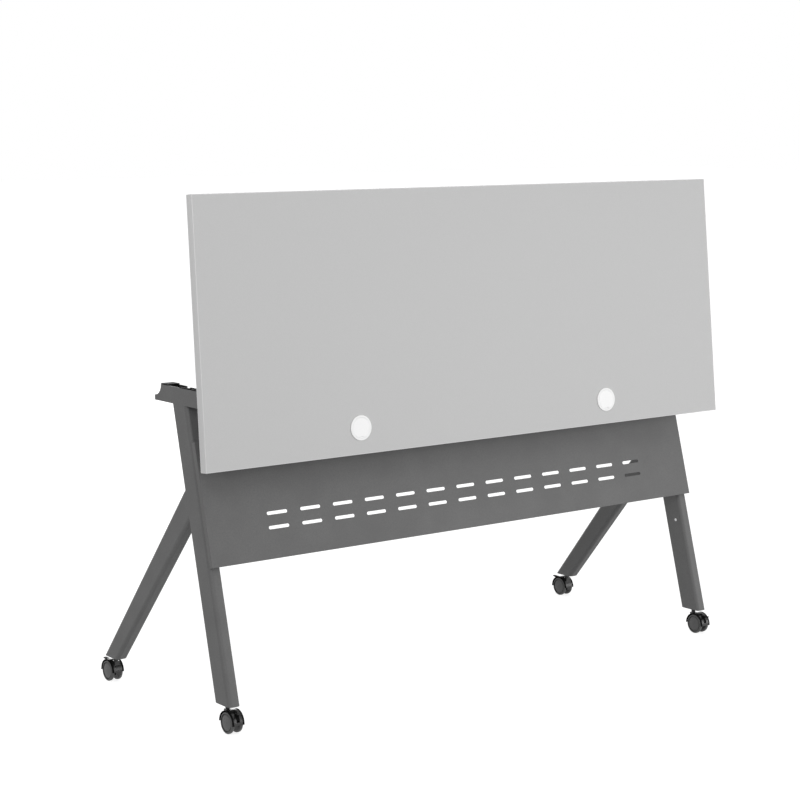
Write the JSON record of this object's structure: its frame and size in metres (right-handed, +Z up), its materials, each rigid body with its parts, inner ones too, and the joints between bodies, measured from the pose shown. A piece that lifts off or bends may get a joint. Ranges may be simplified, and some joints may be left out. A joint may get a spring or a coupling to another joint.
{
  "type": "flip top training table",
  "caption": "Rectangular table whose top folds up to near vertical between two leaning leg frames, with a slotted modesty panel and swivel casters with brakes.",
  "frame": {"origin": "on the floor, under the middle of the bounding box", "axes": "+X along the table's length; -Y the audience side, with the modesty panel; +Z up"},
  "size_m": [1.55, 0.6004, 1.1739],
  "materials": {
    "top_laminate": "pale grey laminate, matte",
    "edge_band": "grey edge band, matte",
    "white_plastic": "moulded white, satin",
    "bracket_steel": "black powder coat",
    "zinc_steel": "bright zinc plate",
    "frame_paint": "dark grey powder coat",
    "panel_paint": "dark grey powder coat",
    "black_rubber": "matte",
    "black_plastic": "moulded, satin",
    "wheel_plastic": "moulded dark grey, satin"
  },
  "bodies": {
    "base": {"arm_left": "frame_paint", "arm_right": "frame_paint", "front_leg_left": "frame_paint", "front_leg_right": "frame_paint", "rear_leg_left": "frame_paint", "rear_leg_right": "frame_paint", "foot_plugs": "bracket_steel", "link_plugs": "white_plastic", "pivot_bolts": "zinc_steel", "pivot_nuts": "zinc_steel", "pivot_washers": "white_plastic", "fold_buffers": "black_rubber", "rest_pads": "black_rubber", "side_glides": "black_plastic", "lock_housings": "black_plastic", "lock_pins": "zinc_steel", "crossbeam": "frame_paint", "beam_plates": "frame_paint", "beam_screws": "zinc_steel", "modesty_panel": "panel_paint", "panel_spacers": "black_plastic", "panel_screws": "zinc_steel", "caster_stems": "zinc_steel"},
    "top": {"top_board": "top_laminate", "edge_band": "edge_band", "grommet_liners": "white_plastic", "tilt_bracket_left": "bracket_steel", "tilt_bracket_right": "bracket_steel", "striker_pins": "zinc_steel", "bracket_screws": "zinc_steel"},
    "cap_left": {"grommet_cap_left": "white_plastic", "notch_insert_left": "white_plastic"},
    "cap_right": {"grommet_cap_right": "white_plastic", "notch_insert_right": "white_plastic"},
    "lock_left": {"lock_lever_left": "black_plastic"},
    "lock_right": {"lock_lever_right": "black_plastic"},
    "caster_front_left": {"hood_front_left": "wheel_plastic", "axle_front_left": "zinc_steel"},
    "outer_wheel_front_left": {"outer_wheel_front_left": "wheel_plastic"},
    "inner_wheel_front_left": {"inner_wheel_front_left": "wheel_plastic"},
    "brake_front_left": {"brake_front_left": "wheel_plastic"},
    "caster_front_right": {"hood_front_right": "wheel_plastic", "axle_front_right": "zinc_steel"},
    "outer_wheel_front_right": {"outer_wheel_front_right": "wheel_plastic"},
    "inner_wheel_front_right": {"inner_wheel_front_right": "wheel_plastic"},
    "brake_front_right": {"brake_front_right": "wheel_plastic"},
    "caster_rear_left": {"hood_rear_left": "wheel_plastic", "axle_rear_left": "zinc_steel"},
    "outer_wheel_rear_left": {"outer_wheel_rear_left": "wheel_plastic"},
    "inner_wheel_rear_left": {"inner_wheel_rear_left": "wheel_plastic"},
    "brake_rear_left": {"brake_rear_left": "wheel_plastic"},
    "caster_rear_right": {"hood_rear_right": "wheel_plastic", "axle_rear_right": "zinc_steel"},
    "outer_wheel_rear_right": {"outer_wheel_rear_right": "wheel_plastic"},
    "inner_wheel_rear_right": {"inner_wheel_rear_right": "wheel_plastic"},
    "brake_rear_right": {"brake_rear_right": "wheel_plastic"}
  },
  "joints": [
    {"name": "top_tilt", "type": "hinge", "parent": "base", "child": "top", "pos_m": [0, -0.207, 0.722], "axis": [-1, 0, 0], "range_deg": [0, 85]},
    {"name": "cap_left_lift", "type": "slide", "parent": "top", "child": "cap_left", "axis": [0, -0.9962, 0.0872], "range_m": [0, 0.03]},
    {"name": "cap_right_lift", "type": "slide", "parent": "top", "child": "cap_right", "axis": [0, -0.9962, 0.0872], "range_m": [0, 0.03]},
    {"name": "lock_left_turn", "type": "hinge", "parent": "base", "child": "lock_left", "pos_m": [-0.714, -0.022, 0.716], "axis": [1, 0, 0], "range_deg": [0, 42]},
    {"name": "lock_right_turn", "type": "hinge", "parent": "base", "child": "lock_right", "pos_m": [0.714, -0.022, 0.716], "axis": [1, 0, 0], "range_deg": [0, 42]},
    {"name": "swivel_front_left", "type": "hinge", "parent": "base", "child": "caster_front_left", "pos_m": [-0.715, -0.24625, 0.045], "axis": [0, 0, 1], "continuous": true},
    {"name": "outer_wheel_front_left_spin", "type": "hinge", "parent": "caster_front_left", "child": "outer_wheel_front_left", "pos_m": [-0.715, -0.26275, 0.024], "axis": [1, 0, 0], "continuous": true},
    {"name": "inner_wheel_front_left_spin", "type": "hinge", "parent": "caster_front_left", "child": "inner_wheel_front_left", "pos_m": [-0.715, -0.26275, 0.024], "axis": [1, 0, 0], "continuous": true},
    {"name": "brake_front_left_press", "type": "hinge", "parent": "caster_front_left", "child": "brake_front_left", "pos_m": [-0.715, -0.27561, 0.03932], "axis": [1, 0, 0], "range_deg": [0, 10]},
    {"name": "swivel_front_right", "type": "hinge", "parent": "base", "child": "caster_front_right", "pos_m": [0.715, -0.24625, 0.045], "axis": [0, 0, 1], "continuous": true},
    {"name": "outer_wheel_front_right_spin", "type": "hinge", "parent": "caster_front_right", "child": "outer_wheel_front_right", "pos_m": [0.715, -0.26275, 0.024], "axis": [1, 0, 0], "continuous": true},
    {"name": "inner_wheel_front_right_spin", "type": "hinge", "parent": "caster_front_right", "child": "inner_wheel_front_right", "pos_m": [0.715, -0.26275, 0.024], "axis": [1, 0, 0], "continuous": true},
    {"name": "brake_front_right_press", "type": "hinge", "parent": "caster_front_right", "child": "brake_front_right", "pos_m": [0.715, -0.27561, 0.03932], "axis": [1, 0, 0], "range_deg": [0, 10]},
    {"name": "swivel_rear_left", "type": "hinge", "parent": "base", "child": "caster_rear_left", "pos_m": [-0.715, 0.24625, 0.045], "axis": [0, 0, 1], "continuous": true},
    {"name": "outer_wheel_rear_left_spin", "type": "hinge", "parent": "caster_rear_left", "child": "outer_wheel_rear_left", "pos_m": [-0.715, 0.26275, 0.024], "axis": [1, 0, 0], "continuous": true},
    {"name": "inner_wheel_rear_left_spin", "type": "hinge", "parent": "caster_rear_left", "child": "inner_wheel_rear_left", "pos_m": [-0.715, 0.26275, 0.024], "axis": [1, 0, 0], "continuous": true},
    {"name": "brake_rear_left_press", "type": "hinge", "parent": "caster_rear_left", "child": "brake_rear_left", "pos_m": [-0.715, 0.27561, 0.03932], "axis": [-1, 0, 0], "range_deg": [0, 10]},
    {"name": "swivel_rear_right", "type": "hinge", "parent": "base", "child": "caster_rear_right", "pos_m": [0.715, 0.24625, 0.045], "axis": [0, 0, 1], "continuous": true},
    {"name": "outer_wheel_rear_right_spin", "type": "hinge", "parent": "caster_rear_right", "child": "outer_wheel_rear_right", "pos_m": [0.715, 0.26275, 0.024], "axis": [1, 0, 0], "continuous": true},
    {"name": "inner_wheel_rear_right_spin", "type": "hinge", "parent": "caster_rear_right", "child": "inner_wheel_rear_right", "pos_m": [0.715, 0.26275, 0.024], "axis": [1, 0, 0], "continuous": true},
    {"name": "brake_rear_right_press", "type": "hinge", "parent": "caster_rear_right", "child": "brake_rear_right", "pos_m": [0.715, 0.27561, 0.03932], "axis": [-1, 0, 0], "range_deg": [0, 10]}
  ]
}
